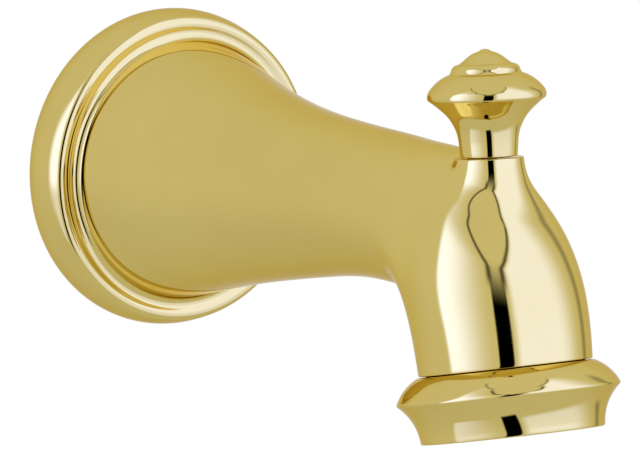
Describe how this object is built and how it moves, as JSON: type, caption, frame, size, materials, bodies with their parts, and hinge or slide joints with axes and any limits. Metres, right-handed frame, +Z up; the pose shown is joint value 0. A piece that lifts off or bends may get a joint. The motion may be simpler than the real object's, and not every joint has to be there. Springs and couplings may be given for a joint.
{
  "type": "bath spout with diverter",
  "caption": "Polished brass bath spout with a stepped round wall flange, a tapering bell, a bottle-shaped nose with a turned outlet ring and a knob that lifts to divert the water.",
  "frame": {"origin": "centre of the wall flange's back face, on the inlet's axis", "axes": "+Z up, -Y out of the wall along the inlet's axis, +X to the right as seen from the front"},
  "size_m": [0.0804, 0.1756, 0.0941],
  "materials": {
    "polished_brass": "polished",
    "plain_brass": "machined",
    "black_rubber": "matt",
    "white_acetal": "moulded",
    "spring_steel": "bright"
  },
  "bodies": {
    "spout": {"adapter_washer": "black_rubber", "diverter_chamber": "white_acetal", "inlet_adapter": "plain_brass", "outlet_ring": "polished_brass", "spout_body": "polished_brass", "stem_bush": "white_acetal", "stem_seal": "black_rubber", "tube_seal_front": "black_rubber", "tube_seal_rear": "black_rubber", "waterway_tube": "white_acetal"},
    "diverter": {"lift_knob": "polished_brass", "lift_rod": "plain_brass", "diverter_gate": "white_acetal", "gate_pad": "black_rubber", "rod_clip": "spring_steel"}
  },
  "joints": [
    {"name": "diverter_lift", "type": "slide", "parent": "spout", "child": "diverter", "axis": [0, 0.0802, 0.9968], "range_m": [0, 0.011]}
  ]
}
